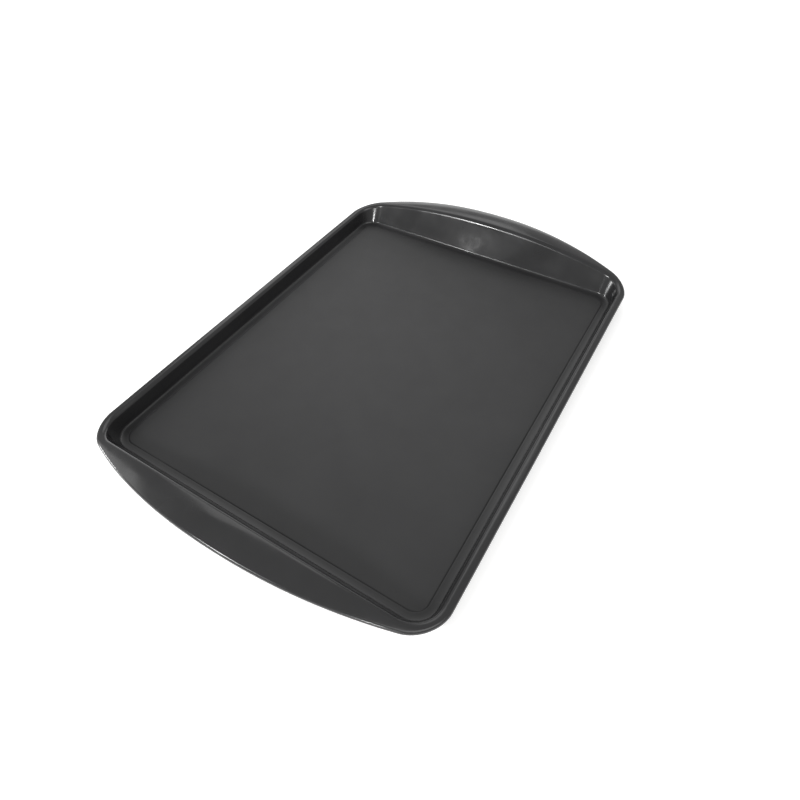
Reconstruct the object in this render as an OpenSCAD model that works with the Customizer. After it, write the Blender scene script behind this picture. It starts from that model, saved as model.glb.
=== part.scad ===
// Non-stick baking tray: one sheet of steel, pressed into a shallow pan whose two
// short ends arch up and out into crescent handles. The edge of the sheet is rolled
// all the way round over a steel wire.
// Origin: centre of the footprint, on the surface that the tray stands on.
// X is across, Y is along, Z is up.

/* [Overall size] */
// Length over both handles
overall_length = 438; // [420:1:460]
// Width over the rolled side rims
overall_width = 292; // [284:1:310]
// Height of the rim along the long sides
side_height = 15.5; // [14:0.5:24]
// Extra height of the end walls at the middle of each handle
end_rise = 15.3; // [6:0.1:22]

/* [Sheet and wire] */
// Thickness of the steel sheet
sheet = 0.6; // [0.4:0.1:0.8]
// Diameter of the wire inside the rolled edge
wire_d = 3; // [2.4:0.2:3.6]
// Clearance between the wire and the sheet rolled over it
wire_gap = 0.05; // [0.02:0.01:0.1]
// Butt gap between the two ends of the wire
butt_gap = 1.2; // [0.5:0.1:4]
// How far round the wire the sheet is rolled, in degrees
roll_turn = 258; // [200:2:270]

/* [Floor] */
// Length of the floor between the end walls
floor_length = 369; // [355:1:371]
// Width of the floor between the side walls
floor_width = 274; // [268:1:275]
// Corner radius of the floor
floor_corner = 17; // [13:0.5:20]
// Width of the margin between the walls and the raised panel
margin = 7; // [6:0.5:9]
// Radius of the margin's hollow, measured across the margin
margin_radius = 25; // [20:1:30]
// Slope that the hollow reaches at the foot of the walls, in degrees
margin_lean = 9; // [4:1:9]
// Height of the panel above the bottom of the margin
panel_rise = 0.4; // [0.3:0.1:1]
// Width of the step from the margin up to the panel
step_width = 1.2; // [0.6:0.1:2]
// Radius of the bend at the foot of the walls
foot_radius = 2.2; // [1.6:0.2:3]

/* [Wall top] */
// Distance from the floor's edge out to the middle of the side walls' top bend
wall_spread = 5.1; // [4.6:0.1:6]
// The same distance at the end walls, at the corners
end_spread = 7.8; // [6:0.1:9.5]
// Corner radius along the wall's top
top_corner = 22.5; // [20:0.5:25]
// Distance that the end walls bow outward at their middle
end_bow = 6.7; // [3:0.1:9]
// Radius of the bend over the wall's top at the sides
top_radius = 3.4; // [3:0.1:4]
// Radius added to that bend at the middle of the ends
top_radius_extra = 1.6; // [0:0.2:3]
// Radius of the handles' crowned top, measured across the handle
crown_radius = 55; // [40:5:150]

/* [Rolled edge] */
// Corner radius along the middle of the wire
edge_corner = 19; // [16:0.5:22]
// Distance between the middle of the wire and the wall's top, along the length, at the corners
edge_setback = 3.5; // [0:0.1:5]
// Extra height of the wire at the middle of each handle
edge_rise = 13.8; // [5:0.1:20]
// Shape of the handles' arch: 2 is a parabola, more is fuller towards the corners
arch_power = 2.15; // [2:0.05:2.6]

/* [Smoothness] */
// Steps along half of each end
end_steps = 12; // [6:1:13]
// Steps round each corner
corner_steps = 8; // [5:1:9]
// Steps across the margin's hollow
margin_steps = 2; // [1:1:3]
// Steps round the bend at the foot of the walls
foot_steps = 3; // [2:1:4]
// Steps round the bend over the wall's top
top_steps = 4; // [3:1:5]
// Steps across the handles' crowned top
crown_steps = 4; // [2:1:5]
// Steps round the rolled edge
roll_steps = 10; // [10:1:12]
// Sides of the wire
wire_sides = 10; // [8:1:12]

/* [Hidden] */

wire_r = wire_d / 2;
roll_radius = wire_r + wire_gap + sheet / 2;
edge_half = wire_r + wire_gap + sheet;
mid = sheet / 2;

// A loop is [half width, half length, corner radius, end bow, height, end rise]:
// a rounded rectangle whose two ends bow outward and rise towards their middle.
panel_loop = [floor_width / 2 - margin, floor_length / 2 - margin, floor_corner - margin, 0,
              mid + panel_rise, 0];
// Distance between the centre of the margin's hollow and the centre of the bend beside it
hollow_arm = margin_radius - foot_radius;
foot_loop = [floor_width / 2 - foot_radius, floor_length / 2 - foot_radius,
             floor_corner - foot_radius, 0,
             mid + foot_radius + hollow_arm * (1 - cos(margin_lean)), 0];
top_loop = [floor_width / 2 + wall_spread, floor_length / 2 + end_spread, top_corner,
            end_bow, side_height - mid, end_rise];
edge_y = floor_length / 2 + end_spread - edge_setback;
edge_loop = [overall_width / 2 - edge_half, edge_y, edge_corner,
             overall_length / 2 - edge_half - edge_y, side_height - edge_half, edge_rise];

// A station is [fraction along half an end, corner angle, x sign, y sign].
quarter = concat([for (i = [0 : end_steps]) [i / end_steps, 90]],
                 [for (i = [1 : corner_steps]) [1, 90 - 90 * i / corner_steps]]);
last = len(quarter) - 1;
stations = concat([for (i = [last : -1 : 0]) concat(quarter[i], [1, 1])],
                  [for (i = [1 : last]) concat(quarter[i], [-1, 1])],
                  [for (i = [last : -1 : 0]) concat(quarter[i], [-1, -1])],
                  [for (i = [1 : last]) concat(quarter[i], [1, -1])]);

// How far the arch has come up at distance x from the middle: 1 there, 0 at the sides
function arch(loop, x) = 1 - pow(min(1, x / loop[0]), arch_power);

// Distance of a station from the lengthwise centre line
function across(loop, s) = s[0] * (loop[0] - loop[2]) + loop[2] * cos(s[1]);

// Point of a loop at a station
function at(loop, s) =
    let (x = across(loop, s), a = arch(loop, x))
    [s[2] * x, s[3] * (loop[1] - loop[2] + loop[2] * sin(s[1]) + loop[3] * a),
     loop[4] + loop[5] * a];

// Level direction that points straight out of a loop at a station
function out(loop, s) =
    let (x = across(loop, s),
         k = loop[3] * arch_power / loop[0] * pow(x / loop[0], arch_power - 1),
         n = [s[2] * (cos(s[1]) + k * sin(s[1])), s[3] * sin(s[1]), 0])
    n / norm(n);

// A bead is [centre, outward direction, signed radius, angle]: one point of the
// sheet's middle surface, on a circle in the plane of the outward direction and Z.
function skin(b, side) =
    b[0] + (b[2] + side * mid) * (cos(b[3]) * b[1] + [0, 0, sin(b[3])]);

function level_gap(p, q) = norm([q[0] - p[0], q[1] - p[1]]);

// Third corner of a triangle: the angle between sides a and b, opposite side c
function corner_angle(a, b, c) = acos((a * a + b * b - c * c) / (2 * a * b));

// Beads between two beads, on an arc of the crown's radius that leaves both at a tangent
function crown(first, last) =
    let (p = skin(first, 0), q = skin(last, 0), span = norm(q - p),
         rise = span * span / (2 * crown_radius))
    [for (i = [1 : crown_steps - 1])
        let (t = i / crown_steps, outward = (1 - t) * first[1] + t * last[1],
             level = outward / norm(outward), angle = (1 - t) * first[3] + t * last[3])
        [(1 - t) * p + t * q + rise * t * (1 - t) * (cos(angle) * level + [0, 0, sin(angle)]),
         level, 0, angle]];

// The beads of one cross-section, from the raised panel to the end of the rolled edge
function section(s) =
    let (panel = at(panel_loop, s), panel_out = out(panel_loop, s),
         foot = at(foot_loop, s), foot_out = out(foot_loop, s),
         hollow = foot + hollow_arm * ([0, 0, cos(margin_lean)] - sin(margin_lean) * foot_out),
         margin_span = level_gap(foot, panel) - step_width / 2 - hollow_arm * sin(margin_lean),
         margin_in = 90 - asin(margin_span / margin_radius), margin_out = 90 + margin_lean,
         top_out = out(top_loop, s),
         top_r = top_radius + top_radius_extra * arch(top_loop, across(top_loop, s)),
         top = at(top_loop, s) - [0, 0, top_r],
         edge = at(edge_loop, s), edge_out = out(edge_loop, s),
         rise = top[2] - foot[2], spread = level_gap(foot, top),
         wall = 180 - acos((top_r + foot_radius) / norm([spread, rise])) + atan2(rise, spread),
         reach = level_gap(top, edge), lift = edge[2] - top[2], slant = atan2(lift, reach),
         top_arm = crown_radius - top_r, edge_arm = crown_radius - roll_radius,
         gap = norm([reach, lift]),
         crown_in = slant + 180 - corner_angle(gap, top_arm, edge_arm),
         crown_out = slant + corner_angle(gap, edge_arm, top_arm),
         top_bend = [for (i = [0 : top_steps])
             [top, top_out, top_r, wall + (crown_in - wall) * i / top_steps]],
         roll = [for (i = [0 : roll_steps])
             [edge, edge_out, roll_radius, crown_out - roll_turn * i / roll_steps]])
    concat([[panel - step_width / 2 * panel_out, panel_out, 0, 90]],
           [for (i = [0 : margin_steps])
               [hollow, foot_out, -margin_radius,
                margin_in + (margin_out - margin_in) * i / margin_steps]],
           [for (i = [1 : foot_steps])
               [foot, foot_out, -foot_radius, margin_out + (wall - margin_out) * i / foot_steps]],
           top_bend, crown(top_bend[top_steps], roll[0]), roll);

// Two triangles for the cell between row i and the next, and column j and the next
function cell(i, j, rows, columns) =
    let (i2 = (i + 1) % rows, j2 = (j + 1) % columns,
         a = i * columns + j, b = i2 * columns + j, c = i2 * columns + j2, d = i * columns + j2)
    [[a, b, c], [a, c, d]];

// The pressed sheet: its upper skin, its lower skin and the edge that joins them
module pan() {
    beads = [for (s = stations) section(s)];
    rows = len(beads);
    count = len(beads[0]);
    columns = 2 * count;
    points = [for (b = beads, j = [0 : columns - 1])
        j < count ? skin(b[j], 1) : skin(b[columns - 1 - j], -1)];
    upper_cap = [for (i = [rows - 1 : -1 : 0]) i * columns];
    lower_cap = [for (i = [0 : rows - 1]) i * columns + columns - 1];
    shell = [for (i = [0 : rows - 1], j = [0 : columns - 2], t = cell(i, j, rows, columns)) t];
    color([0.17, 0.17, 0.18])
        polyhedron(points, concat([upper_cap, lower_cap], shell), convexity = 6);
}

// The wire that stiffens the rolled edge, one length bent round to a butt joint
module rim_wire() {
    half_gap = [0, butt_gap / 2, 0];
    side_mid = [edge_loop[0], 0, edge_loop[4]];
    centres = concat([side_mid + half_gap], [for (s = stations) at(edge_loop, s)],
                     [side_mid - half_gap]);
    outs = concat([[1, 0, 0]], [for (s = stations) out(edge_loop, s)], [[1, 0, 0]]);
    rows = len(centres);
    points = [for (i = [0 : rows - 1], j = [0 : wire_sides - 1])
        let (a = 90 - 360 * j / wire_sides)
        centres[i] + wire_r * (cos(a) * outs[i] + [0, 0, sin(a)])];
    first_end = [for (j = [0 : wire_sides - 1]) j];
    last_end = [for (j = [wire_sides - 1 : -1 : 0]) (rows - 1) * wire_sides + j];
    tube = [for (i = [0 : rows - 2], j = [0 : wire_sides - 1], t = cell(i, j, rows, wire_sides)) t];
    color([0.6, 0.6, 0.62])
        polyhedron(points, concat([first_end, last_end], tube), convexity = 6);
}

pan();
rim_wire();
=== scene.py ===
import math

import bpy
from mathutils import Matrix, Vector, noise


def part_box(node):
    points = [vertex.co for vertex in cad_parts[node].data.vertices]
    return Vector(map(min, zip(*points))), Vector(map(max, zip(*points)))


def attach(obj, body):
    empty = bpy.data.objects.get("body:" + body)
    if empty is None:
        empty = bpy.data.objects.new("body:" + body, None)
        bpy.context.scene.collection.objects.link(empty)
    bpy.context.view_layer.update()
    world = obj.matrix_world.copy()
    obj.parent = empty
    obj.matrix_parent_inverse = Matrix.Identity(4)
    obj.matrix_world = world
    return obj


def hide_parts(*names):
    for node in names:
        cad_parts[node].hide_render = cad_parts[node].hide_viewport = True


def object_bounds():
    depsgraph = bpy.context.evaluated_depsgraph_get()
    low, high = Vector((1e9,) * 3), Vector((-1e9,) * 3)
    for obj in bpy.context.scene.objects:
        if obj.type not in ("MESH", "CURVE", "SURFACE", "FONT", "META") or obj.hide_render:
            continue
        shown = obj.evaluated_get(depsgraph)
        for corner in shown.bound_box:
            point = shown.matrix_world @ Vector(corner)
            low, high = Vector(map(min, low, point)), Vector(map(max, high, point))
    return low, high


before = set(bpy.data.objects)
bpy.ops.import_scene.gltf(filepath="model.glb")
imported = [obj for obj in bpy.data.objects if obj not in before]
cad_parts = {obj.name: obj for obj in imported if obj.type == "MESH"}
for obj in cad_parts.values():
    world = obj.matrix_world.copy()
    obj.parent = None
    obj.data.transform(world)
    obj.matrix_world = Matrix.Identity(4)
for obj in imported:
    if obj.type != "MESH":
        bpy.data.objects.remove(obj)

# The looks of a non-stick baking tray: one pressed sheet of coated steel whose two
# ends arch up into crescent handles, with its edge rolled over a steel wire.
# X is across the tray, Y along it, Z up, and the tray stands on z = 0. Metres.

MM = 0.001
cad_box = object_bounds()
pan_low, pan_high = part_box("pan")

# Overall size, from the pan in model.glb
WIDTH = pan_high.x - pan_low.x
LENGTH = pan_high.y - pan_low.y

# Sheet, wire and rolled edge
SHEET = 0.6 * MM
MID = SHEET / 2
WIRE_R = 1.5 * MM
WIRE_GAP = 0.05 * MM
ROLL_R = WIRE_R + WIRE_GAP + MID
EDGE_HALF = WIRE_R + WIRE_GAP + SHEET
ROLL_TURN = 258
BUTT_GAP = 1.2 * MM

# Floor
FLOOR_W = 274 * MM
FLOOR_L = 369 * MM
FLOOR_CORNER = 17 * MM
MARGIN = 7 * MM
MARGIN_R = 25 * MM
MARGIN_LEAN = math.radians(9)
PANEL_RISE = 0.4 * MM
STEP_WIDTH = 1.2 * MM

# Walls, handles and rim
FOOT_R = 2.2 * MM
WALL_SPREAD = 5.1 * MM
END_SPREAD = 7.8 * MM
TOP_CORNER = 22.5 * MM
TOP_R = 3.4 * MM
TOP_R_EXTRA = 1.6 * MM
CROWN_R = 55 * MM
SIDE_HEIGHT = 15.5 * MM
END_RISE = 15.3 * MM
END_BOW = 6.7 * MM
EDGE_CORNER = 19 * MM
EDGE_SETBACK = 3.5 * MM
EDGE_RISE = 13.8 * MM
ARCH_POWER = 2.15

# Fine coined line at the foot of the panel's step, in the upper skin only
COIN_DEPTH = 0.07 * MM
COIN_PLACE = 0.85
COIN_SHARE = 0.25

# A loop is (half width, half length, corner radius, end bow, height, end rise)
PANEL_LOOP = (FLOOR_W / 2 - MARGIN, FLOOR_L / 2 - MARGIN, FLOOR_CORNER - MARGIN, 0,
              MID + PANEL_RISE, 0)
HOLLOW_ARM = MARGIN_R - FOOT_R
FOOT_LOOP = (FLOOR_W / 2 - FOOT_R, FLOOR_L / 2 - FOOT_R, FLOOR_CORNER - FOOT_R, 0,
             MID + FOOT_R + HOLLOW_ARM * (1 - math.cos(MARGIN_LEAN)), 0)
TOP_LOOP = (FLOOR_W / 2 + WALL_SPREAD, FLOOR_L / 2 + END_SPREAD, TOP_CORNER,
            END_BOW, SIDE_HEIGHT - MID, END_RISE)
EDGE_Y = FLOOR_L / 2 + END_SPREAD - EDGE_SETBACK
EDGE_LOOP = (WIDTH / 2 - EDGE_HALF, EDGE_Y, EDGE_CORNER,
             LENGTH / 2 - EDGE_HALF - EDGE_Y, SIDE_HEIGHT - EDGE_HALF, EDGE_RISE)

# Mesh steps
END_STEPS = 70
CORNER_STEPS = 26
SIDE_STEPS = 90
PANEL_RINGS = 26
STEP_STEPS = 14
MARGIN_STEPS = 10
FOOT_STEPS = 10
WALL_STEPS = 10
TOP_STEPS = 14
CROWN_STEPS = 12
ROLL_STEPS = 34
LIP_STEPS = 4
WIRE_SIDES = 24

# How the rings of the panel crowd towards its edge, and how far the sheet's cut end bulges
RING_CROWDING = 1.6
LIP_BULGE = 0.8
# Steps over which the wear sets in at the start of the roll
WEAR_STEPS = 8

# How far the pressed sheet wanders from its true shape along each axis, and over what distance
WANDER = 0.16 * MM
WANDER_SPAN = 75 * MM
# Height at which that sets in, and the height over which it grows to its full size
WANDER_FROM = 1.5 * MM
WANDER_GROWTH = 8 * MM
# Where in the fixed noise field each direction of that unevenness is read
WANDER_PLACES = (Vector((3.1, 7.7, 1.3)), Vector((41.3, 12.9, 28.6)), Vector((17.2, 55.4, 9.8)))

# Light: strength of the white surround, distance of the lamps from the tray, then each lamp as
# (name, direction, size, brightness)
WHITE = (1, 1, 1, 1)
WORLD_STRENGTH = 0.56
LAMP_DISTANCE = 1.6
LIGHTS = (
    ("softbox_back", (-0.40, 0.58, 0.71), (1.15, 0.9), 1.25),
    ("backdrop", (-0.50, 0.85, 0.13), (2.0, 0.38), 0.9),
    ("softbox_right", (0.60, -0.20, 0.77), (1.0, 1.0), 2.6),
    ("window_left", (-0.86, -0.22, 0.46), (0.7, 0.6), 1.7),
    ("lamp_left", (-0.90, -0.43, 0.06), (0.28, 0.14), 40.0),
    ("lamp_front", (-0.36, -0.78, 0.52), (0.2, 0.24), 75.0),
    ("strip_front", (-0.25, -0.80, 0.54), (0.5, 0.2), 7.0),
    ("lamp_right", (0.37, -0.90, 0.23), (0.08, 0.2), 110.0),
    ("glow_front", (-0.335, -0.93, 0.16), (0.09, 0.09), 6.0),
)

# Camera: angles, then the point aimed at and the distance from it as shares of the tray's size
CAMERA_AZIMUTH = math.radians(34.53)
CAMERA_ELEVATION = math.radians(49.44)
CAMERA_ROLL = math.radians(-2.17)
CAMERA_AIM = (0.0398, -0.145)
CAMERA_DISTANCE = 1.0083
CAMERA_SENSOR = 36
CAMERA_LENS = 25.285
CAMERA_SHIFT = (0.0519, 0.0205)
CAMERA_CLIP = (0.01, 50)

# Studio floor: half its width in lengths of the tray, its tone, its roughness and its faint glow
STAGE_REACH = 12
STAGE_TONE = (0.96, 0.96, 0.955, 1)
STAGE_ROUGH = 0.8
STAGE_GLOW = 0.3

# Noise of each kind, as (scale, detail, roughness)
BLOTCH = (14, 4, 0.55)
SMEAR = (42, 5, 0.6)
WAVE = (55, 1, 0.5)
GRAIN = (900, 2, 0.5)
PEEL = (2600, 2, 0.5)
WIRE_PATCH = (60, 5, 0.6)

# The span of each noise that is put to use
BLOTCH_SPAN = (0.3, 0.75)
SMEAR_SPAN = (0.35, 0.65)
GRAIN_SPAN = (0.3, 0.7)
WEAR_SPAN = (0.62, 0.8)
PATCH_SPAN = (0.3, 0.7)

# Coating: its tones, the share of the bare tone that wear lets through, and its gloss
COATING_DARK = (0.0125, 0.0125, 0.013, 1)
COATING_LIGHT = (0.019, 0.019, 0.0195, 1)
COATING_WORN = (0.07, 0.068, 0.066, 1)
WEAR_SHARE = (0, 0.5)
COATING_IOR = 1.5

# Roughness: by blotch, more on the panel, less on the walls, then by grain, smear and wall streak
BLOTCH_ROUGH = (0.32, 0.38)
PANEL_ROUGHER = 0.14
WALL_SMOOTHER = 0.19
GRAIN_ROUGH = (-0.02, 0.03)
SMEAR_ROUGH = (-0.02, 0.02)
STREAK_ROUGH = (-0.03, 0.06)

# Bump: its strength and depth, the share of it that the walls lose, and the walls' ripple
BUMP_STRENGTH = 0.25
BUMP_DEPTH = 0.02 * MM
WALL_CALM = 0.75
RIPPLE = 6

# Wire: its tones and its roughness by patch
WIRE_DARK = (0.16, 0.15, 0.14, 1)
WIRE_LIGHT = (0.42, 0.41, 0.4, 1)
WIRE_ROUGH = (0.5, 0.3)


# ---------------------------------------------------------------- geometry

def make_stations():
    """Places round the tray, as (fraction of half an end, corner angle, x sign, y sign, side shift)."""
    quarter = [(i / END_STEPS, math.pi / 2) for i in range(END_STEPS + 1)]
    quarter += [(1, math.pi / 2 * (1 - i / CORNER_STEPS)) for i in range(1, CORNER_STEPS + 1)]
    side = [1 - 2 * i / SIDE_STEPS for i in range(1, SIDE_STEPS)]
    stations = [(f, a, 1, 1, 1) for f, a in reversed(quarter)]
    stations += [(f, a, -1, 1, 1) for f, a in quarter[1:]]
    stations += [(1, 0, -1, 1, t) for t in side]
    stations += [(f, a, -1, -1, 1) for f, a in reversed(quarter)]
    stations += [(f, a, 1, -1, 1) for f, a in quarter[1:]]
    stations += [(1, 0, 1, -1, t) for t in side]
    return stations


def arch(loop, x):
    """1 at the middle of an end, 0 at the sides."""
    return 1 - min(1, x / loop[0]) ** ARCH_POWER


def across(loop, s):
    """Distance of a station from the lengthwise centre line."""
    return s[0] * (loop[0] - loop[2]) + loop[2] * math.cos(s[1])


def at(loop, s):
    """Point of a loop at a station."""
    x = across(loop, s)
    a = arch(loop, x)
    y = (loop[1] - loop[2]) * s[4] + loop[2] * math.sin(s[1]) + loop[3] * a
    return Vector((s[2] * x, s[3] * y, loop[4] + loop[5] * a))


def out(loop, s):
    """Level direction straight out of a loop at a station."""
    x = across(loop, s)
    k = loop[3] * ARCH_POWER / loop[0] * (x / loop[0]) ** (ARCH_POWER - 1)
    n = Vector((s[2] * (math.cos(s[1]) + k * math.sin(s[1])), s[3] * math.sin(s[1]), 0))
    return n.normalized()


def skin(bead, side):
    """Point of a bead's upper (+1), middle (0) or lower (-1) skin."""
    centre, outward, radius, angle, dent = bead
    reach = radius + side * MID - (dent if side > 0 else 0)
    return centre + outward * (reach * math.cos(angle)) + Vector((0, 0, reach * math.sin(angle)))


def level_gap(p, q):
    """Distance between two points, seen from above."""
    return math.hypot(q.x - p.x, q.y - p.y)


def smooth(t):
    """Smooth rise from 0 to 1 as t goes from 0 to 1."""
    return t * t * (3 - 2 * t)


def ramp(t):
    """The same rise, level at 0 before it and at 1 after it."""
    return smooth(min(1, max(0, t)))


def arc(centre, outward, radius, start, stop, steps):
    """Beads on one circle, from one angle to another."""
    return [(centre, outward, radius, start + (stop - start) * i / steps, 0)
            for i in range(steps + 1)]


def straight(first, second, steps):
    """Beads between two beads, on the straight stretch of sheet that joins them."""
    beads = []
    p, q = skin((*first[:4], 0), 0), skin((*second[:4], 0), 0)
    for i in range(1, steps):
        t = i / steps
        outward = first[1].lerp(second[1], t).normalized()
        angle = first[3] + (second[3] - first[3]) * t
        beads.append((p.lerp(q, t), outward, 0, angle, 0))
    return beads


def crown(first, last):
    """Beads between two beads, on an arc of the crown's radius that leaves both at a tangent."""
    p, q = skin(first, 0), skin(last, 0)
    rise = (q - p).length_squared / (2 * CROWN_R)
    beads = []
    for i in range(1, CROWN_STEPS):
        t = i / CROWN_STEPS
        outward = first[1].lerp(last[1], t).normalized()
        angle = first[3] + (last[3] - first[3]) * t
        normal = outward * math.cos(angle) + Vector((0, 0, math.sin(angle)))
        beads.append((p.lerp(q, t) + normal * (rise * t * (1 - t)), outward, 0, angle, 0))
    return beads


def corner_angle(a, b, c):
    """Angle between sides a and b of a triangle, opposite side c."""
    return math.acos((a * a + b * b - c * c) / (2 * a * b))


def panel_beads(s, step_foot):
    """The raised panel's rings, from its middle outwards, then its step with the coined line."""
    edge, outward = at(PANEL_LOOP, s), out(PANEL_LOOP, s)
    inner = edge - outward * (STEP_WIDTH / 2)
    up = math.pi / 2
    beads = []
    for i in range(1, PANEL_RINGS):
        share = 1 - (1 - i / PANEL_RINGS) ** RING_CROWDING
        beads.append((Vector((inner.x * share, inner.y * share, inner.z)), outward, 0, up, 0))
    for i in range(STEP_STEPS):
        t = i / STEP_STEPS
        place = inner + outward * (STEP_WIDTH * t)
        place.z = inner.z + (step_foot.z - inner.z) * smooth(t)
        beads.append((place, outward, 0, up, coin(t)))
    return beads


def coin(t):
    """Depth of the coined line at distance t from the top of the step, in widths of the step."""
    return COIN_DEPTH * math.exp(-((t - COIN_PLACE) / COIN_SHARE) ** 2)


def margin_beads(s, foot, outward):
    """The margin's shallow hollow, from the foot of the panel's step to the bend under the wall."""
    hollow = foot + Vector((0, 0, HOLLOW_ARM * math.cos(MARGIN_LEAN)))
    hollow -= outward * (HOLLOW_ARM * math.sin(MARGIN_LEAN))
    span = level_gap(foot, at(PANEL_LOOP, s)) - STEP_WIDTH / 2
    inner_angle = math.pi / 2 - math.asin((span - HOLLOW_ARM * math.sin(MARGIN_LEAN)) / MARGIN_R)
    beads = arc(hollow, outward, -MARGIN_R, inner_angle, math.pi / 2 + MARGIN_LEAN, MARGIN_STEPS)
    start = skin(beads[0], 0)
    dents = [coin(1 + level_gap(start, skin(b, 0)) / STEP_WIDTH) for b in beads]
    return [(*b[:4], dent) for b, dent in zip(beads, dents)]


def section(s):
    """The beads of one cross-section, from near the middle of the panel to the end of the roll."""
    foot, foot_out = at(FOOT_LOOP, s), out(FOOT_LOOP, s)
    top_out = out(TOP_LOOP, s)
    top_r = TOP_R + TOP_R_EXTRA * arch(TOP_LOOP, across(TOP_LOOP, s))
    top = at(TOP_LOOP, s) - Vector((0, 0, top_r))
    edge, edge_out = at(EDGE_LOOP, s), out(EDGE_LOOP, s)
    rise, spread = top.z - foot.z, level_gap(foot, top)
    wall = math.pi - math.acos((top_r + FOOT_R) / math.hypot(spread, rise)) + math.atan2(rise, spread)
    lift, reach = edge.z - top.z, level_gap(top, edge)
    slant, gap = math.atan2(lift, reach), math.hypot(reach, lift)
    crown_in = slant + math.pi - corner_angle(gap, CROWN_R - top_r, CROWN_R - ROLL_R)
    crown_out = slant + corner_angle(gap, CROWN_R - ROLL_R, CROWN_R - top_r)
    margin = margin_beads(s, foot, foot_out)
    foot_arc = arc(foot, foot_out, -FOOT_R, math.pi / 2 + MARGIN_LEAN, wall, FOOT_STEPS)
    top_arc = arc(top, top_out, top_r, wall, crown_in, TOP_STEPS)
    roll_end = crown_out - math.radians(ROLL_TURN)
    roll_arc = arc(edge, edge_out, ROLL_R, crown_out, roll_end, ROLL_STEPS)
    return (panel_beads(s, skin(margin[0], 0)) + margin + foot_arc[1:]
            + straight(foot_arc[-1], top_arc[0], WALL_STEPS)
            + top_arc + crown(top_arc[-1], roll_arc[0]) + roll_arc)


def wander(p):
    """The small, smooth unevenness of a pressed sheet: none where the tray stands on its floor."""
    free = ramp((p.z - WANDER_FROM) / WANDER_GROWTH)
    field = Vector([noise.noise(p / WANDER_SPAN + place) for place in WANDER_PLACES])
    return p + field * (WANDER * free)


def lip(bead):
    """Points round the sheet's cut end, from the upper skin to the lower one."""
    centre, outward, radius, angle, _ = bead
    middle = skin((centre, outward, radius, angle, 0), 0)
    radial = outward * math.cos(angle) + Vector((0, 0, math.sin(angle)))
    onward = outward * math.sin(angle) - Vector((0, 0, math.cos(angle)))
    points = []
    for i in range(1, LIP_STEPS):
        t = math.pi * i / LIP_STEPS
        points.append(middle + radial * (MID * math.cos(t)) + onward * (MID * LIP_BULGE * math.sin(t)))
    return points


def ring_faces(rows, columns, closed_rows, closed_columns):
    """Four-sided faces between neighbouring rows of points."""
    faces = []
    for i in range(rows if closed_rows else rows - 1):
        for j in range(columns if closed_columns else columns - 1):
            i2, j2 = (i + 1) % rows, (j + 1) % columns
            faces.append((i * columns + j, i * columns + j2, i2 * columns + j2, i2 * columns + j))
    return faces


def new_piece(name, points, faces):
    mesh = bpy.data.meshes.new(name)
    mesh.from_pydata(points, [], faces)
    mesh.validate()
    mesh.update()
    mesh.shade_smooth()
    piece = bpy.data.objects.new(name, mesh)
    bpy.context.scene.collection.objects.link(piece)
    return piece


def add_number(mesh, name, values):
    """A number at each point of a mesh, for its material to read."""
    attribute = mesh.attributes.new(name, "FLOAT", "POINT")
    attribute.data.foreach_set("value", values)


def make_pan():
    """The pressed sheet, with both its skins and its rounded cut end."""
    stations = make_stations()
    sections = [section(s) for s in stations]
    count = len(sections[0])
    panel_count = PANEL_RINGS - 1 + STEP_STEPS
    wall_start = panel_count + MARGIN_STEPS + 1
    roll_start = count - ROLL_STEPS - 1
    points, rim, floor, wall = [], [], [], []
    for beads in sections:
        upper = [skin(b, 1) for b in beads]
        lower = [skin(b, -1) for b in reversed(beads)]
        row = upper + lip(beads[-1]) + lower
        for j, p in enumerate(row):
            k = min(j, len(row) - 1 - j)
            points.append(wander(p))
            floor.append(1.0 if k < panel_count else 0.0)
            wall.append(ramp((k - wall_start) / FOOT_STEPS))
            rim.append(ramp((k - roll_start) / WEAR_STEPS))
    rows, columns = len(sections), len(points) // len(sections)
    faces = ring_faces(rows, columns, True, False)
    middle_up = len(points)
    level = PANEL_LOOP[4]
    points += [Vector((0, 0, level + MID)), Vector((0, 0, level - MID))]
    for values, value in ((rim, 0.0), (floor, 1.0), (wall, 0.0)):
        values += [value, value]
    for i in range(rows):
        i2 = (i + 1) % rows
        faces.append((i * columns, i2 * columns, middle_up))
        faces.append((i2 * columns + columns - 1, i * columns + columns - 1, middle_up + 1))
    piece = new_piece("coated_pan", points, faces)
    for name, values in (("rim", rim), ("floor", floor), ("wall", wall)):
        add_number(piece.data, name, values)
    return piece


def make_wire():
    """The wire in the rolled edge, bent round to a butt joint in one long side."""
    half = Vector((0, BUTT_GAP / 2, 0))
    side_mid = Vector((EDGE_LOOP[0], 0, EDGE_LOOP[4]))
    body = [s for s in make_stations() if not (s[2] > 0 and s[4] < 1)]
    centres = [side_mid + half] + [at(EDGE_LOOP, s) for s in body] + [side_mid - half]
    outs = [Vector((1, 0, 0))] + [out(EDGE_LOOP, s) for s in body] + [Vector((1, 0, 0))]
    points = []
    for centre, outward in zip(centres, outs):
        for j in range(WIRE_SIDES):
            a = math.pi / 2 - 2 * math.pi * j / WIRE_SIDES
            reach = outward * math.cos(a) + Vector((0, 0, math.sin(a)))
            points.append(wander(centre + reach * WIRE_R))
    rows = len(centres)
    faces = ring_faces(rows, WIRE_SIDES, False, True)
    faces.append(tuple(reversed(range(WIRE_SIDES))))
    faces.append(tuple(range((rows - 1) * WIRE_SIDES, rows * WIRE_SIDES)))
    return new_piece("wire_in_rim", points, faces)


# ---------------------------------------------------------------- materials

def new_material(name):
    material = bpy.data.materials.new(name)
    material.use_nodes = True
    nodes = material.node_tree.nodes
    return material, nodes, material.node_tree.links, nodes["Principled BSDF"]


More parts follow.
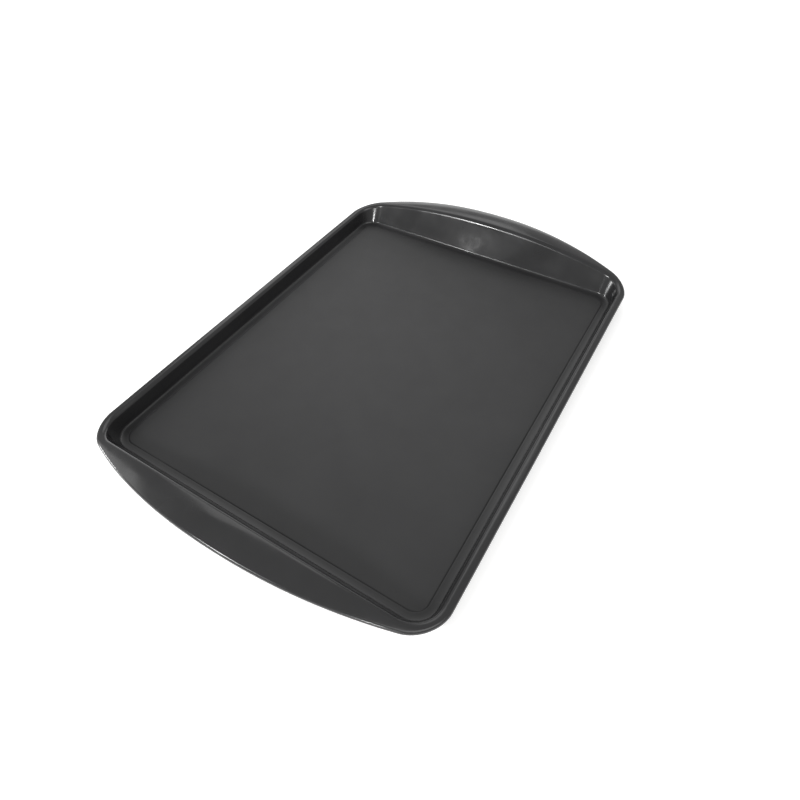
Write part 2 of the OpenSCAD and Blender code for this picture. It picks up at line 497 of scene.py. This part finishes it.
def noise_node(nodes, links, coords, scale, detail, roughness):
    node = nodes.new("ShaderNodeTexNoise")
    node.inputs["Scale"].default_value = scale
    node.inputs["Detail"].default_value = detail
    node.inputs["Roughness"].default_value = roughness
    links.new(coords, node.inputs["Vector"])
    return node.outputs["Fac"]


def remap(nodes, links, value, low, high, to_low, to_high):
    """A value's span from low to high, stretched to another span and clamped to it."""
    node = nodes.new("ShaderNodeMapRange")
    node.inputs["From Min"].default_value = low
    node.inputs["From Max"].default_value = high
    node.inputs["To Min"].default_value = to_low
    node.inputs["To Max"].default_value = to_high
    links.new(value, node.inputs["Value"])
    return node.outputs["Result"]


def maths(nodes, links, kind, a, b):
    """One calculation on two sockets or numbers."""
    node = nodes.new("ShaderNodeMath")
    node.operation = kind
    for socket, value in zip(node.inputs, (a, b)):
        if isinstance(value, (int, float)):
            socket.default_value = value
        else:
            links.new(value, socket)
    return node.outputs["Value"]


def number(nodes, name):
    """Reads a number that add_number has put on the mesh."""
    node = nodes.new("ShaderNodeAttribute")
    node.attribute_name = name
    return node.outputs["Fac"]


def coating_material():
    """Dark grey semi-gloss non-stick coating: fine texture, faint blotches and ripples, worn rim."""
    material, nodes, links, shader = new_material("nonstick_coating")
    place = nodes.new("ShaderNodeTexCoord").outputs["Object"]
    blotch = noise_node(nodes, links, place, *BLOTCH)
    smear = noise_node(nodes, links, place, *SMEAR)
    wave = noise_node(nodes, links, place, *WAVE)
    grain = noise_node(nodes, links, place, *GRAIN)
    peel = noise_node(nodes, links, place, *PEEL)
    rim = number(nodes, "rim")
    wall = number(nodes, "wall")
    panel = number(nodes, "floor")

    tone = nodes.new("ShaderNodeValToRGB")
    dark, light = tone.color_ramp.elements
    dark.position, light.position = BLOTCH_SPAN
    dark.color, light.color = COATING_DARK, COATING_LIGHT
    links.new(blotch, tone.inputs["Fac"])

    worn = maths(nodes, links, "MULTIPLY", rim, remap(nodes, links, grain, *WEAR_SPAN, *WEAR_SHARE))
    mix = nodes.new("ShaderNodeMix")
    mix.data_type = "RGBA"
    mix.inputs["B"].default_value = COATING_WORN
    links.new(worn, mix.inputs["Factor"])
    links.new(tone.outputs["Color"], mix.inputs["A"])
    links.new(mix.outputs["Result"], shader.inputs["Base Color"])

    rough = remap(nodes, links, blotch, *BLOTCH_SPAN, *BLOTCH_ROUGH)
    rough = maths(nodes, links, "ADD", rough, maths(nodes, links, "MULTIPLY", panel, PANEL_ROUGHER))
    rough = maths(nodes, links, "SUBTRACT", rough, maths(nodes, links, "MULTIPLY", wall, WALL_SMOOTHER))
    rough = maths(nodes, links, "ADD", rough, remap(nodes, links, grain, *GRAIN_SPAN, *GRAIN_ROUGH))
    rough = maths(nodes, links, "ADD", rough, remap(nodes, links, smear, *SMEAR_SPAN, *SMEAR_ROUGH))
    streaks = remap(nodes, links, smear, *SMEAR_SPAN, *STREAK_ROUGH)
    rough = maths(nodes, links, "ADD", rough, maths(nodes, links, "MULTIPLY", wall, streaks))
    links.new(rough, shader.inputs["Roughness"])

    bump = nodes.new("ShaderNodeBump")
    bump.inputs["Strength"].default_value = BUMP_STRENGTH
    bump.inputs["Distance"].default_value = BUMP_DEPTH
    texture = maths(nodes, links, "ADD", peel, grain)
    calm = maths(nodes, links, "SUBTRACT", 1, maths(nodes, links, "MULTIPLY", wall, WALL_CALM))
    texture = maths(nodes, links, "MULTIPLY", texture, calm)
    ripple = maths(nodes, links, "MULTIPLY", maths(nodes, links, "MULTIPLY", wave, wall), RIPPLE)
    links.new(maths(nodes, links, "ADD", texture, ripple), bump.inputs["Height"])
    links.new(bump.outputs["Normal"], shader.inputs["Normal"])
    shader.inputs["IOR"].default_value = COATING_IOR
    return material


def wire_material():
    """Plain drawn steel wire, with patches that are lighter and glossier."""
    material, nodes, links, shader = new_material("drawn_wire")
    place = nodes.new("ShaderNodeTexCoord").outputs["Object"]
    patch = noise_node(nodes, links, place, *WIRE_PATCH)
    tone = nodes.new("ShaderNodeValToRGB")
    dark, light = tone.color_ramp.elements
    dark.color, light.color = WIRE_DARK, WIRE_LIGHT
    links.new(patch, tone.inputs["Fac"])
    links.new(tone.outputs["Color"], shader.inputs["Base Color"])
    rough = remap(nodes, links, patch, *PATCH_SPAN, *WIRE_ROUGH)
    links.new(rough, shader.inputs["Roughness"])
    shader.inputs["Metallic"].default_value = 1
    return material


def floor_material():
    """Plain pale studio floor."""
    material, nodes, links, shader = new_material("pale_floor")
    shader.inputs["Base Color"].default_value = STAGE_TONE
    shader.inputs["Roughness"].default_value = STAGE_ROUGH
    shader.inputs["Emission Color"].default_value = WHITE
    shader.inputs["Emission Strength"].default_value = STAGE_GLOW
    return material


# ---------------------------------------------------------------- stage

def make_floor():
    half = STAGE_REACH * LENGTH
    points = [Vector((x * half, y * half, 0)) for x, y in ((-1, -1), (1, -1), (1, 1), (-1, 1))]
    floor = new_piece("studio_floor", points, [(0, 1, 2, 3)])
    floor.data.materials.append(floor_material())


def make_light(name, place, target, size, power):
    data = bpy.data.lights.new(name, "AREA")
    data.shape = "RECTANGLE"
    data.size, data.size_y = size
    data.energy = power
    light = bpy.data.objects.new(name, data)
    bpy.context.scene.collection.objects.link(light)
    light.location = place
    light.rotation_euler = (target - place).to_track_quat("-Z", "Y").to_euler()
    return light


def make_lights():
    world = bpy.data.worlds.new("studio")
    world.use_nodes = True
    background = world.node_tree.nodes["Background"]
    background.inputs["Color"].default_value = WHITE
    background.inputs["Strength"].default_value = WORLD_STRENGTH
    bpy.context.scene.world = world
    centre = (cad_box[0] + cad_box[1]) / 2
    for name, direction, size, glow in LIGHTS:
        place = centre + Vector(direction).normalized() * LAMP_DISTANCE
        make_light(name, place, centre, size, glow * math.pi * size[0] * size[1])


def make_camera():
    """The camera stands over the near right corner and looks down the tray."""
    target = Vector((CAMERA_AIM[0] * WIDTH, CAMERA_AIM[1] * LENGTH, 0))
    distance = CAMERA_DISTANCE * LENGTH
    level = math.cos(CAMERA_ELEVATION)
    back = Vector((math.sin(CAMERA_AZIMUTH) * level, -math.cos(CAMERA_AZIMUTH) * level,
                   math.sin(CAMERA_ELEVATION)))
    data = bpy.data.cameras.new("camera")
    data.sensor_width = CAMERA_SENSOR
    data.lens = CAMERA_LENS
    data.shift_x, data.shift_y = CAMERA_SHIFT
    data.clip_start, data.clip_end = CAMERA_CLIP
    camera = bpy.data.objects.new("camera", data)
    bpy.context.scene.collection.objects.link(camera)
    turn = (-back).to_track_quat("-Z", "Y").to_matrix() @ Matrix.Rotation(CAMERA_ROLL, 3, "Z")
    camera.matrix_world = Matrix.Translation(target + back * distance) @ turn.to_4x4()
    bpy.context.scene.camera = camera


# ---------------------------------------------------------------- assembly

def dress(piece, material, node):
    """Gives a piece its material, hangs it on the root body, and hides the CAD node it stands for."""
    piece.data.materials.append(material)
    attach(piece, "root")
    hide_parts(node)


dress(make_pan(), coating_material(), "pan")
dress(make_wire(), wire_material(), "rim_wire")
make_floor()
make_lights()
make_camera()
bpy.context.scene.view_settings.view_transform = "Standard"
